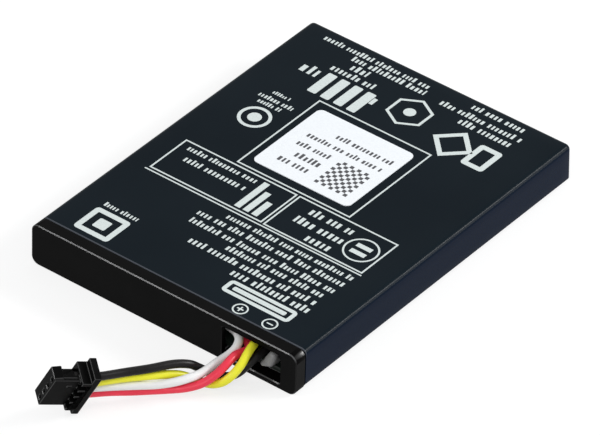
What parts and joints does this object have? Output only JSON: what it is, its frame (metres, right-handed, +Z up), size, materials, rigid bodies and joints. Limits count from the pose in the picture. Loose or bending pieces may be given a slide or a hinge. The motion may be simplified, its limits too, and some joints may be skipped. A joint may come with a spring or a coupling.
{
  "type": "raid battery module",
  "caption": "Flat rechargeable battery module for a storage controller, with a wrapped cell, moulded end cap and a short four-wire lead with a plug.",
  "frame": {"origin": "centre of the pack's footprint, without its lead, on the surface that it stands on", "axes": "+X across the end cap, +Y from the end cap to the rear, +Z up through the labelled face"},
  "size_m": [0.04, 0.0767, 0.0081],
  "materials": {
    "cap_plastic": "moulded, satin black",
    "tray_plastic": "moulded black",
    "film": "glossy printed film, very dark blue",
    "sticker": "matt white",
    "pouch_foil": "laminated foil",
    "mounting_tape": "double-sided tape",
    "tab_aluminium": "rolled strip",
    "tab_nickel": "nickel-plated strip",
    "insulating_tape": "amber film tape",
    "board": "dark solder mask",
    "nickel": "nickel strip",
    "chip_resin": "moulded resin",
    "thermistor_body": "plain",
    "capacitor_body": "plain",
    "solder": "bright solder",
    "glue": "translucent white glue",
    "wire_white": "smooth insulation",
    "wire_red": "smooth insulation",
    "wire_yellow": "smooth insulation",
    "wire_black": "smooth insulation",
    "plug_plastic": "moulded black",
    "contact_metal": "plated strip"
  },
  "bodies": {
    "root": {"end_cap": "cap_plastic", "housing_tray": "tray_plastic", "label_wrap": "film", "white_sticker": "sticker", "battery_cell": "pouch_foil", "cell_tape": "mounting_tape", "positive_tab": "tab_aluminium", "negative_tab": "tab_nickel", "ledge_tape": "insulating_tape", "circuit_board": "board", "positive_plate": "nickel", "negative_plate": "nickel", "gauge_chip": "chip_resin", "protection_chip": "chip_resin", "power_switch": "chip_resin", "sense_resistor": "chip_resin", "thermistor": "thermistor_body", "capacitors": "capacitor_body", "wire_solder": "solder", "glue_bead": "glue", "wire_white": "wire_white", "wire_red": "wire_red", "wire_yellow": "wire_yellow", "wire_black": "wire_black", "plug_housing": "plug_plastic", "contact_1": "contact_metal", "contact_2": "contact_metal", "contact_3": "contact_metal", "contact_4": "contact_metal"}
  },
  "joints": []
}
